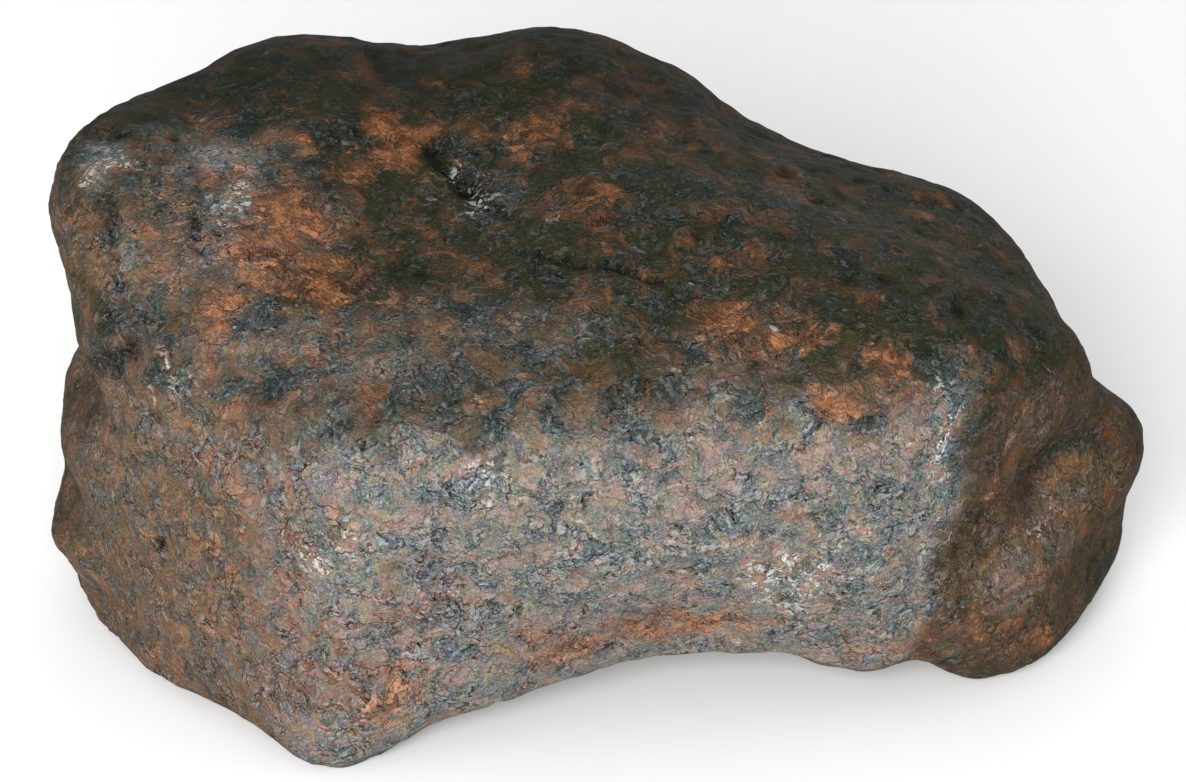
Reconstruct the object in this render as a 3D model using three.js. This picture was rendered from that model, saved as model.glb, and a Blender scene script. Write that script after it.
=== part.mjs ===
// A palm-sized iron meteorite: one solid lump resting on four flattened feet.
// Millimetres, +Z up, the long way along X, the bright front face towards -Y.
import * as THREE from 'three';
import { mergeVertices } from 'three/addons/utils/BufferGeometryUtils.js';

// Overall size of the stone, which also sets how its surface is divided.
const LENGTH = 121;
const DEPTH = 71;
const HEIGHT = 58;
const LENGTH_STEPS = 32;
const DEPTH_STEPS = 18;
const HEIGHT_STEPS = 16;

// The stone is measured outwards from a point inside it.
const CORE = new THREE.Vector3(0, -2, 27);
// How softly two broken faces run into one another.
const EDGE_ROUNDING = 2.6;
const SOLVER_STEPS = 10;

// The broken faces. Azimuth turns from +X (0) to the back (90) or the front (-90).
// Elevation is up from level. Reach is how far the face lies from the core.
const FACES = [
  { name: 'top', azimuth: -90, elevation: 79, reach: 27.4 },
  { name: 'rear top', azimuth: 90, elevation: 86, reach: 32.4 },
  { name: 'top rear edge', azimuth: 92, elevation: 60, reach: 43.2 },
  { name: 'right shoulder', azimuth: 15, elevation: 68, reach: 30.5 },
  { name: 'right rear shoulder', azimuth: 47, elevation: 52, reach: 38.6 },
  { name: 'right slope', azimuth: 23, elevation: 34, reach: 45.6 },
  { name: 'right end', azimuth: -4, elevation: -3, reach: 62.4 },
  { name: 'right keel', azimuth: -33, elevation: -43, reach: 63 },
  { name: 'front keel', azimuth: -74, elevation: -59, reach: 38.4 },
  { name: 'toe keel', azimuth: -139, elevation: -49, reach: 55.8 },
  { name: 'left keel', azimuth: -166, elevation: -23, reach: 65.4 },
  { name: 'left end', azimuth: -179, elevation: -1, reach: 62 },
  { name: 'knob end', azimuth: 177, elevation: 4, reach: 60.2 },
  { name: 'knob rear', azimuth: 161, elevation: 30, reach: 69.2 },
  { name: 'knob top', azimuth: 136, elevation: 51, reach: 55.4 },
  { name: 'right of the front', azimuth: -42, elevation: -3, reach: 45.4 },
  { name: 'front', azimuth: -85, elevation: 0, reach: 31 },
  { name: 'front bevel', azimuth: -88, elevation: 55, reach: 28.8 },
  { name: 'left of the front', azimuth: -133, elevation: 2, reach: 45 },
  { name: 'knob bevel', azimuth: -124, elevation: 55, reach: 36 },
  { name: 'back left', azimuth: 138, elevation: 0, reach: 53.5 },
  { name: 'back', azimuth: 90, elevation: 4, reach: 35.5 },
  { name: 'back right', azimuth: 46, elevation: 4, reach: 48 },
  { name: 'base', azimuth: -90, elevation: -90, reach: 26.4 },
  { name: 'back keel', azimuth: 95, elevation: -45, reach: 40 },
];

// Swellings (positive height) and hollows (negative height), each a soft mound
// about its own place, with its own breadth along X, Y and Z.
const MOUNDS = [
  { name: 'hollow under the cheek', place: [-59, -6, 42], breadth: [8, 12, 6], height: -2.4 },
  { name: 'nub on the left end', place: [-59, -6, 10.5], breadth: [7, 9, 3.2], height: 1.6 },
  { name: 'notch over the nub', place: [-59, -5, 17], breadth: [6, 8, 3.4], height: -1.4 },
  { name: 'hollow under the nub', place: [-56, -14, 6.5], breadth: [8, 11, 4.5], height: -2.2 },
  { name: 'notch in the hem', place: [35, -20, 2], breadth: [4, 7, 5], height: -1.5 },
  { name: 'right toe', place: [51, -14, 3], breadth: [8, 8, 5], height: 1.9 },
  { name: 'hollow under the brow', place: [58, -7, 11], breadth: [7, 9, 4], height: -0.9 },
  { name: 'pointed toe', place: [-29, -35, 0], breadth: [8, 9, 9], height: 4.6 },
  { name: 'right foot', place: [42, -12, 1], breadth: [13, 12, 9], height: 2.5 },
  { name: 'heel', place: [-8, 24, 1], breadth: [16, 10, 9], height: 2.5 },
  { name: 'front arch', place: [11, -26, 4], breadth: [22, 16, 16], height: -8 },
  { name: 'hollow underside', place: [4, 0, 1], breadth: [22, 13, 8], height: -3 },
  { name: 'crest', place: [-1, 27, 55], breadth: [12, 12, 12], height: 3.2 },
  { name: 'left crest', place: [-35, 25, 56], breadth: [9, 12, 10], height: 2.3 },
  { name: 'right corner', place: [43, 15, 39], breadth: [10, 12, 9], height: 3.2 },
  { name: 'shoulder dip', place: [18, 22, 49], breadth: [9, 14, 10], height: -1.2 },
  { name: 'knob', place: [-46, -13, 48], breadth: [14, 13, 12], height: 4 },
  { name: 'left crease', place: [-59, -6, 32], breadth: [8, 12, 4.5], height: -4.6 },
  { name: 'saddle beside the knob', place: [-20, -8, 51], breadth: [12, 16, 9], height: -3 },
  { name: 'top scoop', place: [-9, 3, 52], breadth: [8, 7, 7], height: -1.8 },
  { name: 'right dent', place: [51, -13, 23.5], breadth: [7, 8, 4.5], height: -4 },
  { name: 'brow over the dent', place: [60, -3, 20], breadth: [8, 12, 6], height: 2.1 },
  { name: 'bulge under the dent', place: [48, -18, 12], breadth: [9, 9, 7], height: 2.6 },
  { name: 'knob cheek', place: [-56, 2, 52], breadth: [9, 13, 7], height: 4.3 },
  { name: 'lobe under the crease', place: [-46, -15, 2], breadth: [11, 12, 8], height: 1.4 },
  { name: 'dip beside the left crest', place: [-43, 21, 56], breadth: [5, 12, 8], height: -0.8 },
  { name: 'dip over the brow', place: [57, 5, 30], breadth: [8, 14, 5], height: -1.7 },
  { name: 'hem right of the arch', place: [27, -21, 5], breadth: [8, 9, 8], height: 2 },
  { name: 'belly of the lobe', place: [-45, -22, 20], breadth: [11, 11, 14], height: 1.4 },
  { name: 'front belly', place: [5, -33, 27], breadth: [30, 10, 12], height: 1 },
  { name: 'back thumbprint', place: [22, 33, 33], breadth: [12, 9, 10], height: -3.2 },
  { name: 'low thumbprint', place: [-10, 34, 18], breadth: [13, 9, 9], height: -3 },
  { name: 'high thumbprint', place: [-26, 32, 40], breadth: [11, 9, 8], height: -2.4 },
  { name: 'back boss', place: [6, 33, 42], breadth: [9, 8, 8], height: 1.5 },
  { name: 'left thumbprint', place: [-57, 12, 38], breadth: [8, 10, 10], height: -2.6 },
  { name: 'right thumbprint', place: [56, 14, 20], breadth: [8, 10, 9], height: -2.4 },
];

// Weathered iron with a thin brown-grey rust skin.
const SKIN_COLOUR = new THREE.Color().setRGB(0.36, 0.32, 0.285, THREE.SRGBColorSpace);
const SKIN_ROUGHNESS = 0.62;
const SKIN_METALNESS = 0.35;

// Unit vector from an azimuth and an elevation in degrees.
function direction(azimuth, elevation) {
  const turn = THREE.MathUtils.degToRad(azimuth);
  const rise = THREE.MathUtils.degToRad(elevation);
  const level = Math.cos(rise);
  return new THREE.Vector3(Math.cos(turn) * level, Math.sin(turn) * level, Math.sin(rise));
}

const FACE_NORMALS = FACES.map((face) => direction(face.azimuth, face.elevation));

// The smooth maximum of how far a point along a ray lies beyond each face,
// with the share each face has in it.
function beyondFaces(leans, distance) {
  const beyond = leans.map((lean, i) => (distance * lean - FACES[i].reach) / EDGE_ROUNDING);
  const furthest = Math.max(...beyond);
  const weights = beyond.map((value) => Math.exp(value - furthest));
  const total = weights.reduce((sum, value) => sum + value, 0);
  return {
    value: EDGE_ROUNDING * (furthest + Math.log(total)),
    shares: weights.map((value) => value / total),
  };
}

// Where a ray from the core leaves the block of faces, and the outward normal there.
function blockPoint(ray) {
  const leans = FACE_NORMALS.map((normal) => normal.dot(ray));
  const crossings = leans.map((lean, i) => (lean > 1e-6 ? FACES[i].reach / lean : Infinity));
  let distance = Math.min(...crossings);
  let shares = [];
  for (let step = 0; step < SOLVER_STEPS; step += 1) {
    const here = beyondFaces(leans, distance);
    shares = here.shares;
    const slope = shares.reduce((sum, share, i) => sum + share * leans[i], 0);
    distance -= here.value / slope;
  }
  const normal = new THREE.Vector3();
  shares.forEach((share, i) => normal.addScaledVector(FACE_NORMALS[i], share));
  return { point: CORE.clone().addScaledVector(ray, distance), normal: normal.normalize() };
}

// Height of all the mounds together at a point of the block.
function moundHeight(point) {
  const at = point.toArray();
  return MOUNDS.reduce((sum, mound) => {
    const spread = mound.place.reduce((total, middle, axis) => {
      const offset = (at[axis] - middle) / mound.breadth[axis];
      return total + offset * offset;
    }, 0);
    return sum + mound.height * Math.exp(-spread);
  }, 0);
}

// The stone's own surface along a ray. What would lie below the ground is worn
// flat, which leaves the contact patches the stone rests on.
function stonePoint(ray) {
  const { point, normal } = blockPoint(ray);
  point.addScaledVector(normal, moundHeight(point));
  point.z = Math.max(point.z, 0);
  return point;
}

// A divided box is blown out along its rays until it meets the stone's surface.
function stoneGeometry() {
  const box = new THREE.BoxGeometry(
    LENGTH, DEPTH, HEIGHT, LENGTH_STEPS, DEPTH_STEPS, HEIGHT_STEPS,
  );
  box.deleteAttribute('normal');
  box.deleteAttribute('uv');
  const skin = mergeVertices(box, 1e-4);
  const places = skin.getAttribute('position');
  const ray = new THREE.Vector3();
  for (let i = 0; i < places.count; i += 1) {
    ray.fromBufferAttribute(places, i).normalize();
    const point = stonePoint(ray);
    places.setXYZ(i, point.x, point.y, point.z);
  }
  skin.computeVertexNormals();
  return skin;
}

// Centred left to right and front to back, with the feet on the ground.
function settled(geometry) {
  geometry.computeBoundingBox();
  const { min, max } = geometry.boundingBox;
  geometry.translate(-(min.x + max.x) / 2, -(min.y + max.y) / 2, -min.z);
  return geometry;
}

const skinMaterial = new THREE.MeshStandardMaterial({
  color: SKIN_COLOUR,
  roughness: SKIN_ROUGHNESS,
  metalness: SKIN_METALNESS,
});

const stone = new THREE.Mesh(settled(stoneGeometry()), skinMaterial);
stone.name = 'meteorite';

const part = new THREE.Group();
part.name = 'meteorite_part';
part.add(stone);

export default part;
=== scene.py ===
# A palm-sized iron meteorite standing on a pale floor: one lump of nickel-iron with
# a dark olive rust skin above, worn grey metal in front and orange rust blotches;
# the front is also painted lighter and the top darker, as painted light and shade.
# The stone's sizes are in millimetres in its own design space, which SHIFT moves
# to where the frame has the stone; MILLIMETRE turns them into the scene's metres.

import math
from types import SimpleNamespace

import bpy
import numpy as np
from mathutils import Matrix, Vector


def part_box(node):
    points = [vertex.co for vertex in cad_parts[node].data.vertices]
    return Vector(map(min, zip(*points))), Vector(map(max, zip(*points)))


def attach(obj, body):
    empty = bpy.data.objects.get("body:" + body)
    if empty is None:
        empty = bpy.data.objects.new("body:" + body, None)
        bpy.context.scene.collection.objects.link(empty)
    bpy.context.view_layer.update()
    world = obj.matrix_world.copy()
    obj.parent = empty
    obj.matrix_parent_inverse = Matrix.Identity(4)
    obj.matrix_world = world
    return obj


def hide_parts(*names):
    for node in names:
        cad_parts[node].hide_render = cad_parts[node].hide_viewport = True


MILLIMETRE = 0.001

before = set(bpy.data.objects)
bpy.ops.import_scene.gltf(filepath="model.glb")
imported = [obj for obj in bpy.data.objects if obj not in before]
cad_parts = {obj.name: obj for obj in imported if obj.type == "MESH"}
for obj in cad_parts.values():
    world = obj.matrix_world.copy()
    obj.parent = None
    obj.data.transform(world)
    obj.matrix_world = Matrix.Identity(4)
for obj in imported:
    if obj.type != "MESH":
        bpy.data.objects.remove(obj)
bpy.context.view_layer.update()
STONE_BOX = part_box("meteorite")

# ---------------------------------------------------------------- the stone's form

# Where the rays through the surface start.
CORE = np.array([0.0, -2.0, 27.0])
EDGE_ROUNDING = 2.6
SOLVER_STEPS = 10
TINY = 1e-12
STONE_SIZE = np.array([121.0, 71.0, 58.0])
# Grid cells along X, Y and Z on the frame's plain stone and on the finished skin.
FRAME_CELLS = (32, 18, 16)
SKIN_CELLS = (176, 104, 90)

# Broken faces: name, azimuth (0 right, 90 back, -90 front), elevation, reach from the core.
FACES = [
    ("top", -90, 79, 27.4),
    ("rear top", 90, 86, 32.4),
    ("top rear edge", 92, 60, 43.2),
    ("right shoulder", 15, 68, 30.5),
    ("right rear shoulder", 47, 52, 38.6),
    ("right slope", 23, 34, 45.6),
    ("right end", -4, -3, 62.4),
    ("right keel", -33, -43, 63),
    ("front keel", -74, -59, 38.4),
    ("toe keel", -139, -49, 55.8),
    ("left keel", -166, -23, 65.4),
    ("left end", -179, -1, 62),
    ("knob end", 177, 4, 60.2),
    ("knob rear", 161, 30, 69.2),
    ("knob top", 136, 51, 55.4),
    ("right of the front", -42, -3, 45.4),
    ("front", -85, 0, 31),
    ("front bevel", -88, 55, 28.8),
    ("left of the front", -133, 2, 45),
    ("knob bevel", -124, 55, 36),
    ("back left", 138, 0, 53.5),
    ("back", 90, 4, 35.5),
    ("back right", 46, 4, 48),
    ("base", -90, -90, 26.4),
    ("back keel", 95, -45, 40),
]

# Swellings and hollows: name, place, breadth along X, Y and Z, height.
MOUNDS = [
    ("hollow under the cheek", (-59, -6, 42), (8, 12, 6), -2.4),
    ("nub on the left end", (-59, -6, 10.5), (7, 9, 3.2), 1.6),
    ("notch over the nub", (-59, -5, 17), (6, 8, 3.4), -1.4),
    ("hollow under the nub", (-56, -14, 6.5), (8, 11, 4.5), -2.2),
    ("notch in the hem", (35, -20, 2), (4, 7, 5), -1.5),
    ("right toe", (51, -14, 3), (8, 8, 5), 1.9),
    ("hollow under the brow", (58, -7, 11), (7, 9, 4), -0.9),
    ("pointed toe", (-29, -35, 0), (8, 9, 9), 4.6),
    ("right foot", (42, -12, 1), (13, 12, 9), 2.5),
    ("heel", (-8, 24, 1), (16, 10, 9), 2.5),
    ("front arch", (11, -26, 4), (22, 16, 16), -8),
    ("hollow underside", (4, 0, 1), (22, 13, 8), -3),
    ("crest", (-1, 27, 55), (12, 12, 12), 3.2),
    ("left crest", (-35, 25, 56), (9, 12, 10), 2.3),
    ("right corner", (43, 15, 39), (10, 12, 9), 3.2),
    ("shoulder dip", (18, 22, 49), (9, 14, 10), -1.2),
    ("knob", (-46, -13, 48), (14, 13, 12), 4),
    ("left crease", (-59, -6, 32), (8, 12, 4.5), -4.6),
    ("saddle beside the knob", (-20, -8, 51), (12, 16, 9), -3),
    ("top scoop", (-9, 3, 52), (8, 7, 7), -1.8),
    ("right dent", (51, -13, 23.5), (7, 8, 4.5), -4),
    ("brow over the dent", (60, -3, 20), (8, 12, 6), 2.1),
    ("bulge under the dent", (48, -18, 12), (9, 9, 7), 2.6),
    ("knob cheek", (-56, 2, 52), (9, 13, 7), 4.3),
    ("lobe under the crease", (-46, -15, 2), (11, 12, 8), 1.4),
    ("dip beside the left crest", (-43, 21, 56), (5, 12, 8), -0.8),
    ("dip over the brow", (57, 5, 30), (8, 14, 5), -1.7),
    ("hem right of the arch", (27, -21, 5), (8, 9, 8), 2),
    ("belly of the lobe", (-45, -22, 20), (11, 11, 14), 1.4),
    ("front belly", (5, -33, 27), (30, 10, 12), 1),
    ("back thumbprint", (22, 33, 33), (12, 9, 10), -3.2),
    ("low thumbprint", (-10, 34, 18), (13, 9, 9), -3),
    ("high thumbprint", (-26, 32, 40), (11, 9, 8), -2.4),
    ("back boss", (6, 33, 42), (9, 8, 8), 1.5),
    ("left thumbprint", (-57, 12, 38), (8, 10, 10), -2.6),
    ("right thumbprint", (56, 14, 20), (8, 10, 9), -2.4),
]

# Fine marks that only the looks carry: name, start, end, half width, depth.
GROOVES = [
    ("fissure upper", (-18, 7, 54), (-14, 1, 52), 1.0, 1.1),
    ("fissure lower", (-14, 1, 52), (-10, -5, 52), 0.9, 0.9),
    ("knob crack upper", (-42, 1, 55), (-43, -7, 53), 0.5, 0.4),
    ("knob crack lower", (-43, -7, 53), (-42, -12, 51), 0.5, 0.7),
    ("knob seam", (-52, -4, 53), (-51, -15, 47), 0.9, 0.7),
    ("knob shelf", (-40, -10, 51), (-30, -13, 49), 0.9, 0.6),
    ("brow crack", (-6, -12, 51), (8, -16, 49), 0.7, 0.5),
    ("ridge crack", (38, -10, 47), (38, -22, 41), 0.8, 0.6),
    ("left crease mouth", (-58, -8, 33), (-49, -17, 42), 1.4, 0.8),
]


def unit(azimuth, elevation):
    """Unit vector: (cos a cos e, sin a cos e, sin e)."""
    turn, rise = math.radians(azimuth), math.radians(elevation)
    return np.array([math.cos(turn) * math.cos(rise), math.sin(turn) * math.cos(rise), math.sin(rise)])


def smoothstep(low, high, value):
    """0 below low, 1 above high, and 3t^2 - 2t^3 between them."""
    t = np.clip((value - low) / (high - low), 0.0, 1.0)
    return t * t * (3.0 - 2.0 * t)


def soft_spot(places, middle, breadth):
    """exp(-|(p - middle) / breadth|^2), a soft spot of height 1."""
    offset = (places - np.asarray(middle, float)) / np.asarray(breadth, float)
    return np.exp(-(offset * offset).sum(-1))


def block(rays):
    """Where rays from the core leave the block of faces, and its normals there.
    The block is where the smooth maximum of (distance * n.ray - reach) over all
    the faces is zero; Newton's method finds that distance along each ray."""
    normals = np.array([unit(azimuth, elevation) for _, azimuth, elevation, _ in FACES])
    reach = np.array([face[3] for face in FACES])
    lean = rays @ normals.T
    distance = np.where(lean > TINY, reach / np.maximum(lean, TINY), np.inf).min(1)
    for _ in range(SOLVER_STEPS):
        beyond = (distance[:, None] * lean - reach) / EDGE_ROUNDING
        furthest = beyond.max(1, keepdims=True)
        share = np.exp(beyond - furthest)
        total = share.sum(1)
        value = EDGE_ROUNDING * (furthest[:, 0] + np.log(total))
        share /= total[:, None]
        distance -= value / (share * lean).sum(1)
    outward = share @ normals
    outward /= np.linalg.norm(outward, axis=1, keepdims=True)
    return CORE + rays * distance[:, None], outward


def mounds(places):
    """Sum of all the mounds: height * soft spot."""
    return sum(height * soft_spot(places, middle, breadth) for _, middle, breadth, height in MOUNDS)


# ---------------------------------------------------------------- noise in space

# Stretches the blended slopes to about -1 to 1.
NOISE_GAIN = 1.6


def hash_cells(cells, seed):
    """Three numbers from 0 to 1 for each whole-number cell, mixed from its corner by
    multiplying with large odd numbers and folding the high bits back in."""
    c = cells.astype(np.int64).astype(np.uint32)
    h = c[..., 0] * np.uint32(0x8DA6B343) ^ c[..., 1] * np.uint32(0xD8163841)
    h = h ^ c[..., 2] * np.uint32(0xCB1AB31F) ^ np.uint32(seed * 0x9E3779B1 & 0xFFFFFFFF)
    out = []
    for step in (0x7FEB352D, 0x846CA68B, 0x68E31DA5):
        h = (h ^ (h >> np.uint32(15))) * np.uint32(step)
        h = h ^ (h >> np.uint32(13))
        out.append(h.astype(float) / 0xFFFFFFFF)
    return np.stack(out, -1)


def gradient_noise(p, seed):
    """Gradient noise, about -1 to 1: each lattice corner has a random slope, and the
    slopes are blended with the fade 6t^5 - 15t^4 + 10t^3 along each axis."""
    cell = np.floor(p)
    f = p - cell
    fade = f * f * f * (f * (f * 6.0 - 15.0) + 10.0)
    total = np.zeros(len(p))
    for corner in np.ndindex(2, 2, 2):
        corner = np.array(corner)
        slope = hash_cells(cell + corner, seed) * 2.0 - 1.0
        weight = np.where(corner, fade, 1.0 - fade).prod(-1)
        total += weight * (slope * (f - corner)).sum(-1)
    return total * NOISE_GAIN


def fractal(p, octaves, seed):
    """Gradient noise at 1, 2, 4 ... times the frequency with 1, 1/2, 1/4 ... of the height."""
    return sum(gradient_noise(p * 2.0 ** k, seed + k) / 2.0 ** k for k in range(octaves))


def cell_distance(p, seed):
    """Distance from each place to the nearest of one random point in every unit cell."""
    cell = np.floor(p)
    nearest = np.full(len(p), np.inf)
    for corner in np.ndindex(3, 3, 3):
        home = cell + np.array(corner) - 1.0
        nearest = np.minimum(nearest, np.linalg.norm(home + hash_cells(home, seed) - p, axis=1))
    return nearest


def segment_distance(p, start, end):
    """Distance from each place to the straight line from start to end."""
    start, end = np.asarray(start, float), np.asarray(end, float)
    along = end - start
    t = np.clip((p - start) @ along / (along @ along), 0.0, 1.0)
    return np.linalg.norm(p - start - t[:, None] * along, axis=1)


# Sizes of the surface relief, and how far ledges are drawn out along the stone.
SWELL_SIZE = 15.0
RIPPLE_SIZE = 5.5
LEDGE_SIZE = 2.6
LEDGE_STRETCH = np.array([0.6, 1.0, 1.0])
GRIT_SIZE = 1.5
PITTED_AREA = 11.0
PIT_SPACING = 4.2
PINHOLE_SPACING = 2.6
LEDGE_BEND_SIZE = 4.0
GROOVE_WANDER = 0.8
GROOVE_WANDER_SIZE = 3.0


def broad_relief(p):
    """Uneven swell of the weathered faces: swells of two sizes of gradient noise,
    each height * noise(place / size)."""
    return 0.75 * fractal(p / SWELL_SIZE, 2, 11) + 0.32 * gradient_noise(p / RIPPLE_SIZE, 17)


def fine_relief(p):
    """Ledges drawn out along the stone, small scattered pits, and the grooves, all
    as heights in millimetres. Ledges are -|noise| creases; a pit is a soft bowl
    round each cell's point; a groove falls off as a bell with distance from its
    wandering line."""
    flow = p * LEDGE_STRETCH
    bend = 0.4 * gradient_noise(p / LEDGE_BEND_SIZE, 5)[:, None]
    ledges = 0.20 * (0.35 - np.abs(gradient_noise(flow / LEDGE_SIZE + bend, 23)))
    ledges += 0.12 * gradient_noise(flow / GRIT_SIZE, 29)
    patchy = smoothstep(-0.25, 0.45, gradient_noise(p / PITTED_AREA, 31))
    pits = -0.42 * patchy * smoothstep(0.42, 0.08, cell_distance(p / PIT_SPACING, 37))
    pits += -0.20 * smoothstep(0.40, 0.10, cell_distance(p / PINHOLE_SPACING, 41))
    push = np.stack([gradient_noise(p / GROOVE_WANDER_SIZE, seed) for seed in (43, 47, 53)], -1)
    wander = p + GROOVE_WANDER * push
    cuts = -sum(depth * np.exp(-(segment_distance(wander, start, end) / half) ** 2)
                for _, start, end, half, depth in GROOVES)
    return ledges + pits + cuts


# ---------------------------------------------------------------- the stone's skin


# Corners are numbered (i * KEY_STEP + j) * KEY_STEP + k.
KEY_STEP = 4096


def box_sides(cells):
    """The six sides of a box as grids of whole-number corners: for each side the
    axis it faces, which end it is on, and its corners (i, j, k)."""
    for axis in range(3):
        first, second = [a for a in range(3) if a != axis]
        i, j = np.meshgrid(np.arange(cells[first] + 1), np.arange(cells[second] + 1), indexing="ij")
        for end in (0, 1):
            corners = np.zeros(i.shape + (3,), int)
            corners[..., first], corners[..., second], corners[..., axis] = i, j, end * cells[axis]
            yield axis, end, corners


def welded_box(cells):
    """A closed box surface of unit-cube corners, with quads facing outwards and the
    side and corner each quad corner came from. Corners shared by sides are one."""
    quads, keys, sides = [], [], []
    for axis, end, corners in box_sides(cells):
        key = (corners[..., 0] * KEY_STEP + corners[..., 1]) * KEY_STEP + corners[..., 2]
        loop = np.stack([key[:-1, :-1], key[1:, :-1], key[1:, 1:], key[:-1, 1:]], -1).reshape(-1, 4)
        outwards = (end == 1) == (axis != 1)
        quads.append(loop if outwards else loop[:, ::-1])
        keys.append(key.ravel())
        sides.append(np.full(len(loop), axis * 2 + end))
    unique = np.unique(np.concatenate(keys))
    grid = np.stack([unique // KEY_STEP ** 2, unique // KEY_STEP % KEY_STEP, unique % KEY_STEP], -1)
    quads = np.searchsorted(unique, np.concatenate(quads))
    return grid, quads, np.concatenate(sides)


def stone_rays(cells):
    """Unit rays from the middle of a box the size of the stone to its grid corners."""
    grid, quads, sides = welded_box(cells)
    rays = (grid / np.array(cells) - 0.5) * STONE_SIZE
    return rays / np.linalg.norm(rays, axis=1, keepdims=True), grid, quads, sides


def settling_shift():
    """How far the design space moves so that the plain stone, on the frame's own
    coarse grid, starts at the corner where the frame has it."""
    start, outward = block(stone_rays(FRAME_CELLS)[0])
    plain = start + outward * mounds(start)[:, None]
    plain[:, 2] = np.maximum(plain[:, 2], 0.0)
    return np.array(STONE_BOX[0]) / MILLIMETRE - plain.min(0)


def surface_normals(places, quads):
    """Outward normals at the corners: the sum of the cross products of the
    diagonals of the quads round each corner."""
    first, second, third, fourth = (places[quads[:, corner]] for corner in range(4))
    diagonal = np.cross(third - first, fourth - second)
    total = np.zeros_like(places)
    for corner in range(4):
        np.add.at(total, quads[:, corner], diagonal)
    return total / np.maximum(np.linalg.norm(total, axis=1, keepdims=True), TINY)


SHIFT = settling_shift()

# ---------------------------------------------------------------- where each finish lies

# Spots of each finish: place in the frame, breadth, strength.
RUST_SPOTS = [
    ((-33, -7, 52), (6, 6, 5), 1.0), ((-36, -12, 51), (6, 5, 5), 0.9), ((-29, -14, 49), (7, 5, 5), 0.8),
    ((-40, -17, 48), (5, 4, 4), 0.7), ((-40, 0, 54), (3, 4, 4), 0.7), ((-20, -18, 46), (6, 4, 4), 0.6),
    ((-22, 8, 55), (5, 5, 4), 1.0), ((-8, 9, 55), (7, 3, 4), 0.75), ((0, -5, 53), (3, 8, 4), 0.7),
    ((-17, 3, 53), (3, 4, 3), 0.6), ((-27, 3, 53), (4, 4, 4), 0.7), ((-31, 8, 55), (5, 4, 4), 0.6),
    ((13, -21, 47), (5, 4, 4), 0.8), ((21, -21, 46), (6, 4, 4), 1.0), ((11, -13, 50), (3, 3, 3), 0.8),
    ((26, -27, 41), (5, 4, 4), 0.9), ((31, -24, 44), (4, 4, 3), 0.8), ((11, -27, 14), (14, 6, 3), 0.9),
    ((-4, -29, 13), (10, 6, 3), 0.8), ((-22, -34, 10), (9, 6, 4), 0.8),
    ((-32, -33, 20), (6, 6, 4), 0.5), ((42, -21, 10), (5, 6, 4), 0.7), ((48, -17, 6), (6, 6, 3), 0.7),
    ((31, -24, 10), (6, 6, 3), 0.6), ((-16, -31, 38), (4, 4, 4), 0.5), ((43, -21, 33), (4, 5, 6), 0.4),
    ((-50, -14, 28), (4, 6, 5), 0.4),
]
# Pale spots are partly painted highlights: on the knob's lit ridge and on the lit bulge under the right
# dent.
PALE_AND_HIGHLIGHT_SPOTS = [
    ((-53, 1, 55), (5, 4, 4), 0.95), ((-41, 3, 55), (7, 5, 4), 0.8), ((-39, -5, 53), (5, 4, 4), 0.95),
    ((-50, -11, 50), (3, 6, 6), 0.75), ((-42, -9, 52), (14, 11, 8), 0.7),
    ((-44, -22, 40), (7, 6, 4), 0.5), ((-11, -1, 52), (3, 5, 4), 0.35), ((49, -13, 19), (6, 6, 4), 0.8),
    ((44, -20, 16), (6, 5, 5), 0.7), ((-31, -20, 45), (4, 4, 3), 0.6),
    ((-18, -21, 46), (17, 6, 5), 0.55), ((-23, -25, 43), (14, 5, 5), 0.6),
    ((-36, -21, 44), (9, 7, 6), 0.6),
]
GLINT_SPOTS = [
    ((36, -27, 37), (2.2, 5, 8), 1.0), ((35, -27, 26), (3, 5, 6), 0.6), ((21, -29, 21), (6, 5, 5), 0.9),
    ((-28, -33, 26), (6, 5, 4), 0.6), ((-11, -33, 35), (4, 4, 6), 0.7),
    ((-14, 0, 52), (2.5, 5, 3), 0.9), ((-53, 1, 55), (5, 4, 3), 0.9), ((-39, -5, 53), (4, 4, 3), 0.9),
    ((4, -31, 28), (26, 6, 8), 0.35), ((-44, -22, 40), (6, 5, 4), 0.4), ((49, -13, 19), (3, 4, 3), 0.6),
]
# Slate spots are dark green-black patches; those in the right dent and under the knob are painted
# shade.
SLATE_AND_SHADE_SPOTS = [
    ((-8, 3, 53), (5, 7, 4), 0.6), ((-32, -20, 46), (3, 3, 3), 0.7), ((24, -19, 47), (4, 4, 4), 1.0),
    ((-12, -30, 40), (7, 5, 4), 0.6), ((-4, -31, 20), (3, 4, 2.6), 0.6),
    ((7, -29, 37), (10, 6, 5), 0.75), ((-51, -16, 41), (5, 5, 3), 0.45),
    ((-36, -21, 42), (7, 5, 3), 0.3), ((3, -17, 49), (9, 5, 4), 0.4), ((44, -3, 46), (9, 12, 6), 0.8),
    ((52, -8, 24), (6, 7, 5), 0.9), ((57, -3, 5), (6, 6, 4), 0.8), ((-15, -8, 50), (8, 6, 4), 0.5),
]
BROWN_SPOTS = [
    ((-34, -32, 12), (18, 12, 10), 0.9), ((-36, -30, 30), (8, 7, 12), 0.7),
    ((-46, -10, 52), (8, 9, 6), 0.9), ((-50, -16, 24), (12, 14, 14), 0.8),
    ((-56, -4, 47), (8, 14, 8), 0.9), ((30, -22, 10), (14, 10, 6), 0.6),
    ((2, -28, 13), (24, 8, 5), 0.8), ((-26, -8, 52), (20, 14, 6), 0.6),
    ((-20, -34, 19), (12, 6, 6), 0.7),
]

# The edge between the front and its right end leans back as it rises:
# x = RIDGE_FOOT + RIDGE_LEAN * z.
RIDGE_FOOT = 29.5
RIDGE_LEAN = 0.21
# How far spots wander, and the size of the noise that pushes them.
SPOT_WANDER = 2.6
SPOT_WANDER_SIZE = 6.0


def spots(places, listed):
    """The strongest of the listed soft spots at each place."""
    return np.max([strength * soft_spot(places, middle, breadth)
                   for middle, breadth, strength in listed], 0)


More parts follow.
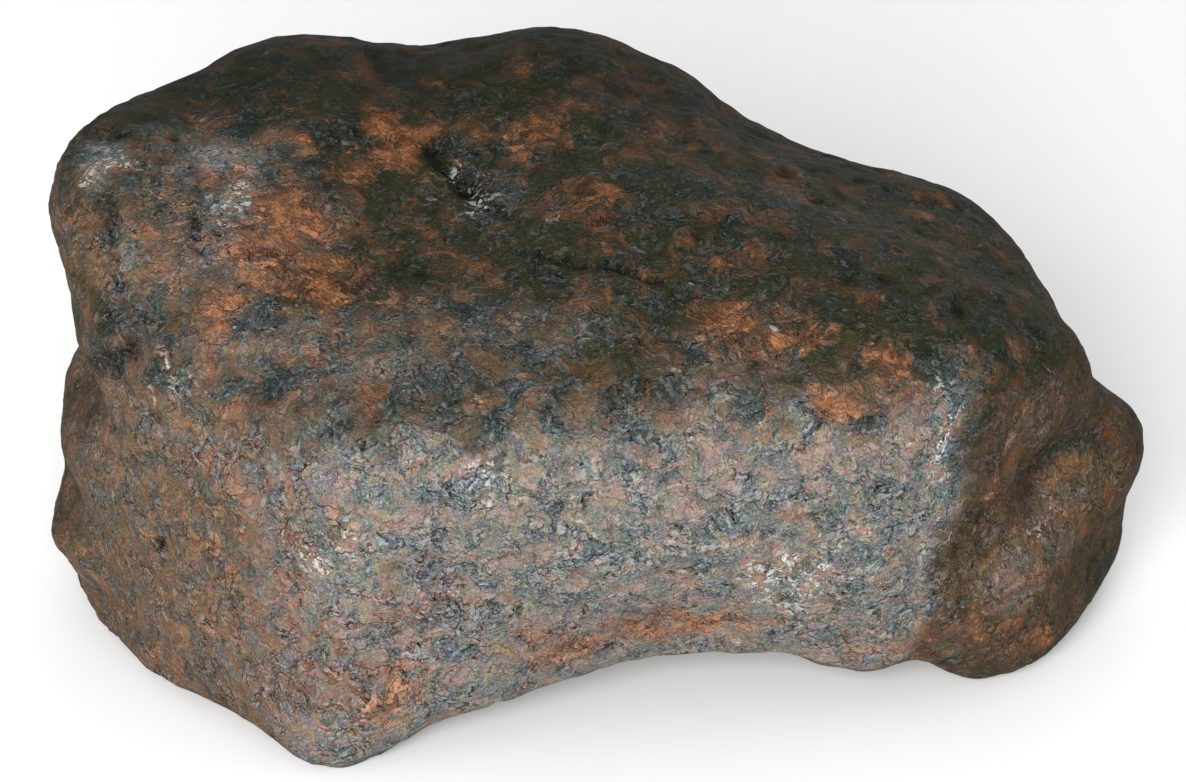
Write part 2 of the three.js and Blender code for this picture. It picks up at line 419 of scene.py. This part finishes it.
def finish_masks(places, normals, relief):
    """Masks from 0 to 1 for the material. Worn metal, partly wear and partly painted
    light, follows the faces that look forwards towards the front light below the brow,
    less so at the two ends and the back, so the lit front is painted lighter and the
    top, the right end and the left lobe darker as painted shade; brown follows the two
    ends; calm is the back of the top, which is also painted darker as painted shade;
    hollow is fine relief well below its mean. The spots are read at places pushed
    about by noise, so their outlines wander."""
    x, y, z = places.T
    push = np.stack([fractal(places / SPOT_WANDER_SIZE, 3, seed) for seed in (61, 67, 71)], -1)
    wandering = places + SPOT_WANDER * push
    below_brow = smoothstep(52.0, 33.0, z + 4.0 * push[:, 0])
    forwards = smoothstep(0.10, 1.00, -normals[:, 1]) * below_brow
    right_end = smoothstep(0.0, 5.0, x + 1.6 * push[:, 1] - (RIDGE_FOOT + RIDGE_LEAN * z))
    left_lobe = smoothstep(-24.0, -44.0, x)
    left_side = smoothstep(0.35, 0.80, -normals[:, 0])
    backwards = smoothstep(0.45, 0.95, normals[:, 1])
    upwards = smoothstep(0.20, 0.70, normals[:, 2])
    # Worn metal, partly painted light: lighter on faces towards the front light, darker as painted
    # shade above the brow, at the right end and on the left lobe.
    worn_and_lit = forwards * (1.0 - 0.90 * right_end - 0.52 * left_lobe) + 0.30 * backwards + 0.20 * left_side
    worn_and_lit = np.clip(np.maximum(worn_and_lit, spots(wandering, PALE_AND_HIGHLIGHT_SPOTS)), 0.0, 1.0)
    return {
        "worn_and_lit": worn_and_lit,
        "rust": spots(wandering, RUST_SPOTS),
        "glint": spots(wandering, GLINT_SPOTS),
        "slate_and_shade": spots(wandering, SLATE_AND_SHADE_SPOTS),
        "brown": np.maximum.reduce([
            spots(wandering, BROWN_SPOTS),
            0.85 * right_end * smoothstep(48.0, 32.0, z),
            0.70 * smoothstep(-16.0, -38.0, wandering[:, 0]) * smoothstep(44.0, 36.0, z),
        ]),
        "calm": upwards * smoothstep(4.0, 22.0, y),
        "hollow": smoothstep(-0.05, -0.70, relief),
    }


# The bottom and top of each row of the bake map, and the margin round each side.
BAKE_ROWS = {0: (0.0, 0.212), 1: (0.212, 0.573), 2: (0.573, 1.0)}
BAKE_GAP = 0.003


def bake_map(grid, quads, sides):
    """Places on a unit square for every quad corner: three rows (left and right ends,
    front and back, base and top), each with two sides of the box side by side."""
    size = np.array(SKIN_CELLS, float)
    square = np.zeros(quads.shape + (2,))
    for axis in range(3):
        first, second = [a for a in range(3) if a != axis]
        low, high = BAKE_ROWS[axis]
        width, height = 0.5 - 2 * BAKE_GAP, high - low - 2 * BAKE_GAP
        for end in (0, 1):
            here = sides == axis * 2 + end
            corners = grid[quads[here]]
            square[here, :, 0] = end * 0.5 + BAKE_GAP + corners[..., first] / size[first] * width
            square[here, :, 1] = low + BAKE_GAP + corners[..., second] / size[second] * height
    return square


def build_stone():
    """The fine skin: the block of faces, moved along its normals by the mounds and
    the broad and fine relief, with everything below the floor worn flat."""
    rays, grid, quads, sides = stone_rays(SKIN_CELLS)
    start, outward = block(rays)
    swollen = start + outward * mounds(start)[:, None]
    relief = fine_relief(swollen + SHIFT)
    places = swollen + outward * (broad_relief(swollen) + relief)[:, None]
    places[:, 2] = np.maximum(places[:, 2], 0.0)
    places += SHIFT
    mesh = bpy.data.meshes.new("meteorite_stone")
    mesh.vertices.add(len(places))
    mesh.vertices.foreach_set("co", (places * MILLIMETRE).ravel())
    mesh.loops.add(quads.size)
    mesh.loops.foreach_set("vertex_index", quads.ravel())
    mesh.polygons.add(len(quads))
    mesh.polygons.foreach_set("loop_start", np.arange(0, quads.size, 4))
    mesh.update(calc_edges=True)
    mesh.validate()
    mesh.shade_smooth()
    masks = finish_masks(places, surface_normals(swollen, quads), relief)
    for name, values in masks.items():
        mesh.attributes.new(name, "FLOAT", "POINT").data.foreach_set("value", values)
    layer = mesh.uv_layers.new(name="OFBake")
    layer.data.foreach_set("uv", bake_map(grid, quads, sides).ravel())
    stone = bpy.data.objects.new("meteorite_stone", mesh)
    bpy.context.scene.collection.objects.link(stone)
    return stone


# ---------------------------------------------------------------- shader writing


class Wire:
    """One output socket of a material; arithmetic on it adds Math nodes."""

    def __init__(self, finish, socket):
        self.finish, self.socket = finish, socket

    def math(self, operation, *others, clamp=False):
        return self.finish.node("Math", {"operation": operation, "use_clamp": clamp}, [self, *others])

    def __add__(self, other):
        return self.math("ADD", other)

    def __sub__(self, other):
        return self.math("SUBTRACT", other)

    def __rsub__(self, other):
        return self.finish.node("Math", {"operation": "SUBTRACT"}, [other, self])

    def __mul__(self, other):
        return self.math("MULTIPLY", other)

    __radd__ = __add__
    __rmul__ = __mul__

    def clamped(self):
        return self.math("ADD", 0.0, clamp=True)


class Finish:
    """A material under construction."""

    def __init__(self, name):
        self.material = bpy.data.materials.new(name)
        self.material.use_nodes = True
        self.tree = self.material.node_tree
        self.tree.nodes.clear()

    def node(self, kind, settings, values, output=0):
        """A node of the given kind, its settings set first, then its sockets by
        place in a list or by name in a dict, and one of its outputs."""
        made = self.tree.nodes.new("ShaderNode" + kind)
        for key, value in settings.items():
            setattr(made, key, value)
        pairs = values.items() if isinstance(values, dict) else enumerate(values)
        for key, value in pairs:
            if isinstance(value, Wire):
                self.tree.links.new(value.socket, made.inputs[key])
            elif value is not None:
                made.inputs[key].default_value = value
        return Wire(self, made.outputs[output]) if len(made.outputs) else None

    def mask(self, name):
        """One of the masks that the stone's own points carry."""
        return self.node("Attribute", {"attribute_name": name}, [], "Fac")

    def scaled(self, vector, factors):
        return self.node("VectorMath", {"operation": "MULTIPLY"}, [vector, factors])

    def moved(self, vector, offset):
        return self.node("VectorMath", {"operation": "ADD"}, [vector, offset])

    def noise(self, vector, scale, detail, roughness, output=0):
        """Soft noise from 0 to 1, as a value or as the three channels of a colour."""
        values = {"Vector": vector, "Scale": scale, "Detail": detail, "Roughness": roughness}
        return self.node("TexNoise", {}, values, output)

    def push(self, vector, scale, detail, roughness):
        """Noise in three directions at once, from -0.5 to 0.5."""
        return self.moved(self.noise(vector, scale, detail, roughness, "Color"), (-0.5, -0.5, -0.5))

    def cells(self, vector, scale, feature="F1", output="Distance"):
        """Distance to the nearest cell's point or edge, or a colour for each cell."""
        settings = {"feature": feature}
        return self.node("TexVoronoi", settings, {"Vector": vector, "Scale": scale}, output)

    def parts(self, colour):
        """The three channels of a colour."""
        separate = self.node("SeparateColor", {}, [colour])
        outputs = separate.socket.node.outputs
        return [Wire(self, outputs[channel]) for channel in range(3)]

    def step(self, low, high, value):
        """Soft step from 0 at low to 1 at high."""
        settings = {"interpolation_type": "SMOOTHSTEP"}
        return self.node("MapRange", settings, {"Value": value, "From Min": low, "From Max": high})

    def mix(self, factor, first, second, blend="MIX"):
        """first at factor 0, second at factor 1."""
        settings = {"data_type": "RGBA", "blend_type": blend}
        return self.node("Mix", settings, {0: factor, 6: first, 7: second}, 2)


def shade(red, green, blue):
    """Linear colour, opaque, from display values of 0 to 255."""
    def linear(value):
        value /= 255.0
        return value / 12.92 if value <= 0.04045 else ((value + 0.055) / 1.055) ** 2.4
    return (linear(red), linear(green), linear(blue), 1.0)


# Worn metal of the front, also painted lighter where the front light falls.
GREY_PINK = shade(140, 128, 119)
KHAKI_GREY = shade(125, 121, 110)
SLATE_GREEN = shade(113, 120, 118)
RUSSET_GREY = shade(114, 91, 78)
# Weathered brow between the two, partly a painted half-shade between the lit front and the shaded top,
# and the browner ends.
SLATE_GREY = shade(68, 74, 70)
BROWN_GREY = shade(98, 82, 68)
WARM_BROWN = shade(110, 88, 65)
# Rust skin of the top and ends, partly painted shade where the front light does not reach.
OLIVE_BROWN = shade(43, 44, 27)
UMBER = shade(69, 53, 36)
GREEN_BLACK = shade(39, 45, 39)
DARK_BROWN = shade(82, 63, 43)
# Rust, dirt and bare flecks; the pale steel and the bright flecks are partly painted highlights and
# glints.
ORANGE_RUST = shade(174, 112, 70)
DEEP_RUST = shade(116, 72, 46)
PALE_STEEL_AND_HIGHLIGHT = shade(158, 166, 170)
FLECK_AND_GLINT = shade(192, 198, 198)
# Tints the whole surface drifts between, as plain multipliers.
WARM_TINT = (1.16, 0.98, 0.88, 1.0)
COOL_TINT = (0.87, 1.00, 1.11, 1.0)
PINK_TINT = (1.05, 0.94, 1.05, 1.0)
GREEN_TINT = (0.95, 1.06, 0.96, 1.0)

# How many marks of each kind lie along a millimetre, from broad drifts to grain.
BROAD_PER_MM = 0.09
PATCHES_PER_MM = 0.20
BLOTCHES_PER_MM = 0.28
MOTTLES_PER_MM = 0.42
STAINS_PER_MM = 0.70
DAPPLES_PER_MM = 0.85
FLAKES_PER_MM = 0.85
CHIPS_PER_MM = 2.3
SPECKS_PER_MM = 3.2
GRAINS_PER_MM = 4.0
# How often and how far the marks are swayed and ruffled out of line.
SWAYS_PER_MM = 0.30
SWAY_REACH = (5.0, 5.0, 5.0)
RUFFLES_PER_MM = 1.3
RUFFLE_REACH = (1.1, 1.1, 1.1)
SPECK_RUFFLE_REACH = (0.6, 0.6, 0.6)
# Flakes and grain are drawn out along the stone.
FLAKE_STRETCH = (0.72, 1.0, 1.0)
GRAIN_STRETCH = (0.75, 1.0, 1.0)
MILLIMETRES_PER_METRE = (1000.0, 1000.0, 1000.0)
BUMP_DEPTH = 0.0010


def drifts(f):
    """The noises and cells that every part of the finish is read from. Each is
    noise(place + its own offset), so that no two drift together."""
    place = f.scaled(f.node("TexCoord", {}, [], "Object"), MILLIMETRES_PER_METRE)
    sway = f.push(place, SWAYS_PER_MM, 3.0, 0.5)
    swayed = f.moved(place, f.scaled(sway, SWAY_REACH))
    ruffle = f.push(place, RUFFLES_PER_MM, 2.0, 0.6)
    flow = f.scaled(f.moved(swayed, f.scaled(ruffle, RUFFLE_REACH)), FLAKE_STRETCH)
    flake_tone, flake_lift, _ = f.parts(f.cells(flow, FLAKES_PER_MM, output="Color"))
    chip_tone, chip_lift, chip_pick = f.parts(f.cells(flow, CHIPS_PER_MM, output="Color"))
    return SimpleNamespace(
        broad=f.noise(f.moved(swayed, (11.0, 3.0, 47.0)), BROAD_PER_MM, 3.0, 0.55),
        patch=f.noise(f.moved(swayed, (31.0, 7.0, 3.0)), PATCHES_PER_MM, 3.0, 0.5),
        blotch=f.noise(f.moved(swayed, (5.0, 77.0, 13.0)), BLOTCHES_PER_MM, 3.0, 0.5),
        mottle=f.noise(f.moved(swayed, (61.0, 17.0, 53.0)), MOTTLES_PER_MM, 2.0, 0.5),
        stain=f.noise(f.moved(swayed, (23.0, 57.0, 5.0)), STAINS_PER_MM, 2.0, 0.5),
        dapple=f.noise(f.moved(flow, (3.0, 41.0, 9.0)), DAPPLES_PER_MM, 3.0, 0.7),
        grain=f.noise(f.scaled(place, GRAIN_STRETCH), GRAINS_PER_MM, 2.0, 0.8),
        flake_lift=flake_lift,
        chip_tone=chip_tone,
        chip_lift=chip_lift,
        chip_pick=chip_pick,
        turn=(flake_tone - 0.5) * 0.05,
        flake_edge=f.cells(flow, FLAKES_PER_MM, "DISTANCE_TO_EDGE"),
        chip_edge=f.cells(flow, CHIPS_PER_MM, "DISTANCE_TO_EDGE"),
        speck_place=f.moved(place, f.scaled(ruffle, SPECK_RUFFLE_REACH)),
    )


def ground_colour(f, d, worn_and_lit):
    """Rust skin, then weathered brow, then bare metal as the stone gets more worn and the
    more it faces the front light, so the lit front is painted lighter and the top darker
    as painted shade; each in soft patches, browner at the ends, and all of it tinted by
    two drifts."""
    brown = f.step(0.35, 0.85, f.mask("brown") + (d.blotch - 0.5) * 1.2 + (d.mottle - 0.5) * 0.8)
    metal = f.mix(f.step(0.40, 0.60, d.patch + d.turn), GREY_PINK, KHAKI_GREY)
    metal = f.mix(f.step(0.46, 0.62, d.blotch - d.turn) * 0.8, metal, SLATE_GREEN)
    metal = f.mix(brown * 0.8, metal, RUSSET_GREY)
    brow = f.mix(f.step(0.40, 0.60, d.blotch + d.turn), BROWN_GREY, SLATE_GREY)
    brow = f.mix(brown * 0.75, brow, WARM_BROWN)
    skin = f.mix(f.step(0.44, 0.62, d.patch), OLIVE_BROWN, UMBER)
    skin = f.mix(f.step(0.46, 0.62, d.blotch) * 0.8, skin, GREEN_BLACK)
    skin = f.mix(brown * f.step(0.62, 0.45, d.mottle) * 0.9, skin, DARK_BROWN)
    colour = f.mix(f.step(0.05, 0.50, worn_and_lit), skin, brow)
    colour = f.mix(f.step(0.45, 0.90, worn_and_lit), colour, metal)
    warmth = f.mix(f.step(0.34, 0.66, d.mottle), COOL_TINT, WARM_TINT)
    blush = f.mix(f.step(0.36, 0.64, d.stain), GREEN_TINT, PINK_TINT)
    colour = f.mix(1.0, colour, warmth, "MULTIPLY")
    colour = f.mix(1.0, colour, blush, "MULTIPLY")
    # Dark slate patches, partly painted shade in the right dent and under the knob.
    slate_and_shade = f.step(0.45, 0.75, f.mask("slate_and_shade") + (d.patch - 0.5) * 0.8 + d.turn)
    return f.mix(slate_and_shade * 0.7, colour, GREEN_BLACK)


def rust_cover(f, d):
    """How much orange rust covers each place: the listed spots with ragged edges,
    and faint stray stains between them."""
    spot = f.mask("rust") + (d.patch - 0.5) * 1.0 + (d.dapple - 0.5) * 1.2 + d.turn
    stray = f.step(0.50, 0.68, d.mottle) * f.step(0.46, 0.60, d.patch)
    return (f.step(0.30, 0.95, spot) + stray * 0.35).clamped()


def rusted_iron():
    """Mottled rust skin over worn nickel-iron: soft patches of colour, broken into
    flakes and chips that are each a little lighter or darker, partly as painted light
    and shade, with painted shade in the crevices and hollows, and clusters of bright
    metal flecks that are partly painted glints."""
    f = Finish("rusted_iron")
    d = drifts(f)
    calm = f.mask("calm")
    # Worn metal, partly painted light: the lit front is painted lighter and the top darker as painted
    # shade.
    worn_and_lit = f.mask("worn_and_lit") + (d.broad - 0.5) * 0.6 + (d.patch - 0.5) * 0.4
    worn_and_lit = (worn_and_lit + (d.dapple - 0.5) * 0.4 + d.turn).clamped()
    rust = rust_cover(f, d)
    rust_tone = f.step(0.30, 0.70, d.dapple * 0.6 + d.flake_lift * 0.4)
    colour = f.mix(rust * 0.64, ground_colour(f, d, worn_and_lit), f.mix(rust_tone, DEEP_RUST, ORANGE_RUST))

    # Light and shade of flakes, chips, grain, crevices, nicks and hollows.
    flaky = 0.55 + 0.70 * f.step(0.40, 0.60, d.blotch)
    strength = (0.78 + 0.22 * worn_and_lit) * (1.0 - 0.6 * calm) * flaky
    crevice = f.step(0.12, 0.02, d.flake_edge) * f.step(0.47, 0.57, d.dapple)
    nick = f.step(0.09, 0.02, d.chip_edge) * f.step(0.52, 0.44, d.mottle)
    cut = (crevice + nick * 0.5).clamped()
    lift = (d.flake_lift - 0.5) * 0.16 + (d.chip_lift - 0.5) * 0.34 + (d.chip_pick - 0.5) * 0.12
    lift = lift + (d.grain - 0.5) * 1.4 + (d.dapple - 0.5) * 0.5
    # The back of the top is painted darker by calm, as painted shade where the front light only grazes
    # it.
    tone = 0.80 + 0.14 * (1.0 - worn_and_lit) * (1.0 - calm) - 0.08 * calm + lift * strength * 0.85
    tone = tone - cut * (0.04 + 0.30 * strength) - f.mask("hollow") * 0.4
    shading = f.step(0.05, 1.9, tone) * 1.9
    colour = f.node("VectorMath", {"operation": "SCALE"}, {0: colour, 3: shading})

    # Bright specks, pale chips and bare flecks on top, partly painted glints and highlights.
    speck_pick, _, _ = f.parts(f.cells(d.speck_place, SPECKS_PER_MM, output="Color"))
    speck_and_glint = f.step(0.36, 0.20, f.cells(d.speck_place, SPECKS_PER_MM))
    speck_and_glint = speck_and_glint * f.step(0.74, 0.84, speck_pick + (d.dapple - 0.5) * 1.8)
    colour = f.mix(speck_and_glint * strength * (0.12 + 0.20 * worn_and_lit), colour, FLECK_AND_GLINT)
    pale = f.step(0.62, 1.0, d.chip_tone + (d.dapple - 0.5) * 1.0) * strength
    colour = f.mix(pale * (0.10 + 0.16 * worn_and_lit) * (1.0 - 0.6 * rust), colour, PALE_STEEL_AND_HIGHLIGHT)
    fleck_and_glint = f.step(0.70, 0.85, d.chip_tone + (d.dapple - 0.5) * 0.8)
    fleck_and_glint = fleck_and_glint * f.step(0.30, 0.90, f.mask("glint") + (d.mottle - 0.5) * 2.0)
    colour = f.mix(fleck_and_glint * 0.6, colour, FLECK_AND_GLINT)

    height = d.grain * 0.3 + d.flake_lift * 0.30 + d.chip_lift * 0.16 + d.dapple * 0.9
    height = height - cut * 0.4 * flaky + speck_and_glint * 0.1
    bump = f.node("Bump", {}, {"Strength": 0.75, "Distance": BUMP_DEPTH, "Height": height}, "Normal")
    shader = f.node("BsdfPrincipled", {}, {
        "Base Color": colour,
        "Roughness": 0.74 - 0.14 * worn_and_lit - 0.20 * fleck_and_glint + 0.10 * rust,
        "Metallic": (0.10 * worn_and_lit + 0.2 * fleck_and_glint - 0.2 * rust).clamped(),
        "Specular IOR Level": 0.06,
        "Normal": bump,
    })
    f.node("OutputMaterial", {}, {"Surface": shader})
    return f.material


def pale_floor():
    """Plain matt floor."""
    f = Finish("pale_floor")
    shader = f.node("BsdfPrincipled", {}, {"Base Color": (0.86, 0.86, 0.86, 1.0), "Roughness": 0.9})
    f.node("OutputMaterial", {}, {"Surface": shader})
    return f.material


# ---------------------------------------------------------------- studio

# Lengths are in metres here, but the camera's target is in the stone's design space.
FLOOR_HALF_WIDTH = 3.0
LIGHT_TARGET = Vector((0.0, 0.0, 0.03))
CAMERA_TARGET = np.array([0.0, -3.0, 28.3])
CAMERA_DISTANCE = 0.62
CAMERA_ELEVATION = 30.0
LENS_MM = 172.0
SURROUNDINGS_STRENGTH = 0.63


def add_floor(half_width):
    """A flat square on the ground, half_width metres from its middle to its edge."""
    mesh = bpy.data.meshes.new("floor")
    w = half_width
    mesh.from_pydata([(-w, -w, 0), (w, -w, 0), (w, w, 0), (-w, w, 0)], [], [(0, 1, 2, 3)])
    mesh.materials.append(pale_floor())
    floor = bpy.data.objects.new("floor", mesh)
    bpy.context.scene.collection.objects.link(floor)


def look_from(thing, azimuth, elevation, distance, target):
    """Places a thing by azimuth and elevation about a target and turns it to face it."""
    direction = Vector(unit(azimuth, elevation))
    thing.location = target + direction * distance
    thing.rotation_euler = direction.to_track_quat("Z", "Y").to_euler()


def add_softbox(name, azimuth, elevation, distance, size, power):
    """A square soft light that faces the middle of the stone."""
    light = bpy.data.lights.new(name, "AREA")
    light.size, light.energy = size, power
    lamp = bpy.data.objects.new(name, light)
    bpy.context.scene.collection.objects.link(lamp)
    look_from(lamp, azimuth, elevation, distance, LIGHT_TARGET)


def add_camera():
    """Looks along +Y from 30 degrees above, with a long lens."""
    camera = bpy.data.cameras.new("camera")
    camera.lens = LENS_MM
    camera.clip_start = 0.01
    eye = bpy.data.objects.new("camera", camera)
    bpy.context.scene.collection.objects.link(eye)
    target = Vector((CAMERA_TARGET + SHIFT) * MILLIMETRE)
    look_from(eye, -90.0, CAMERA_ELEVATION, CAMERA_DISTANCE, target)
    bpy.context.scene.camera = eye


def light_studio():
    """Even pale surroundings, one large low light in front, a little to the left,
    and a weaker one behind."""
    world = bpy.data.worlds.new("studio")
    world.use_nodes = True
    background = world.node_tree.nodes["Background"]
    background.inputs["Color"].default_value = (1.0, 1.0, 1.0, 1.0)
    background.inputs["Strength"].default_value = SURROUNDINGS_STRENGTH
    bpy.context.scene.world = world
    add_softbox("front light", -101.0, 22.0, 1.0, 0.6, 18.0)
    add_softbox("back fill", 80.0, 10.0, 1.2, 0.8, 6.0)
    bpy.context.scene.view_settings.view_transform = "Standard"


stone = build_stone()
stone.data.materials.append(rusted_iron())
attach(stone, "root")
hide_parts("meteorite")
add_floor(FLOOR_HALF_WIDTH)
add_camera()
light_studio()
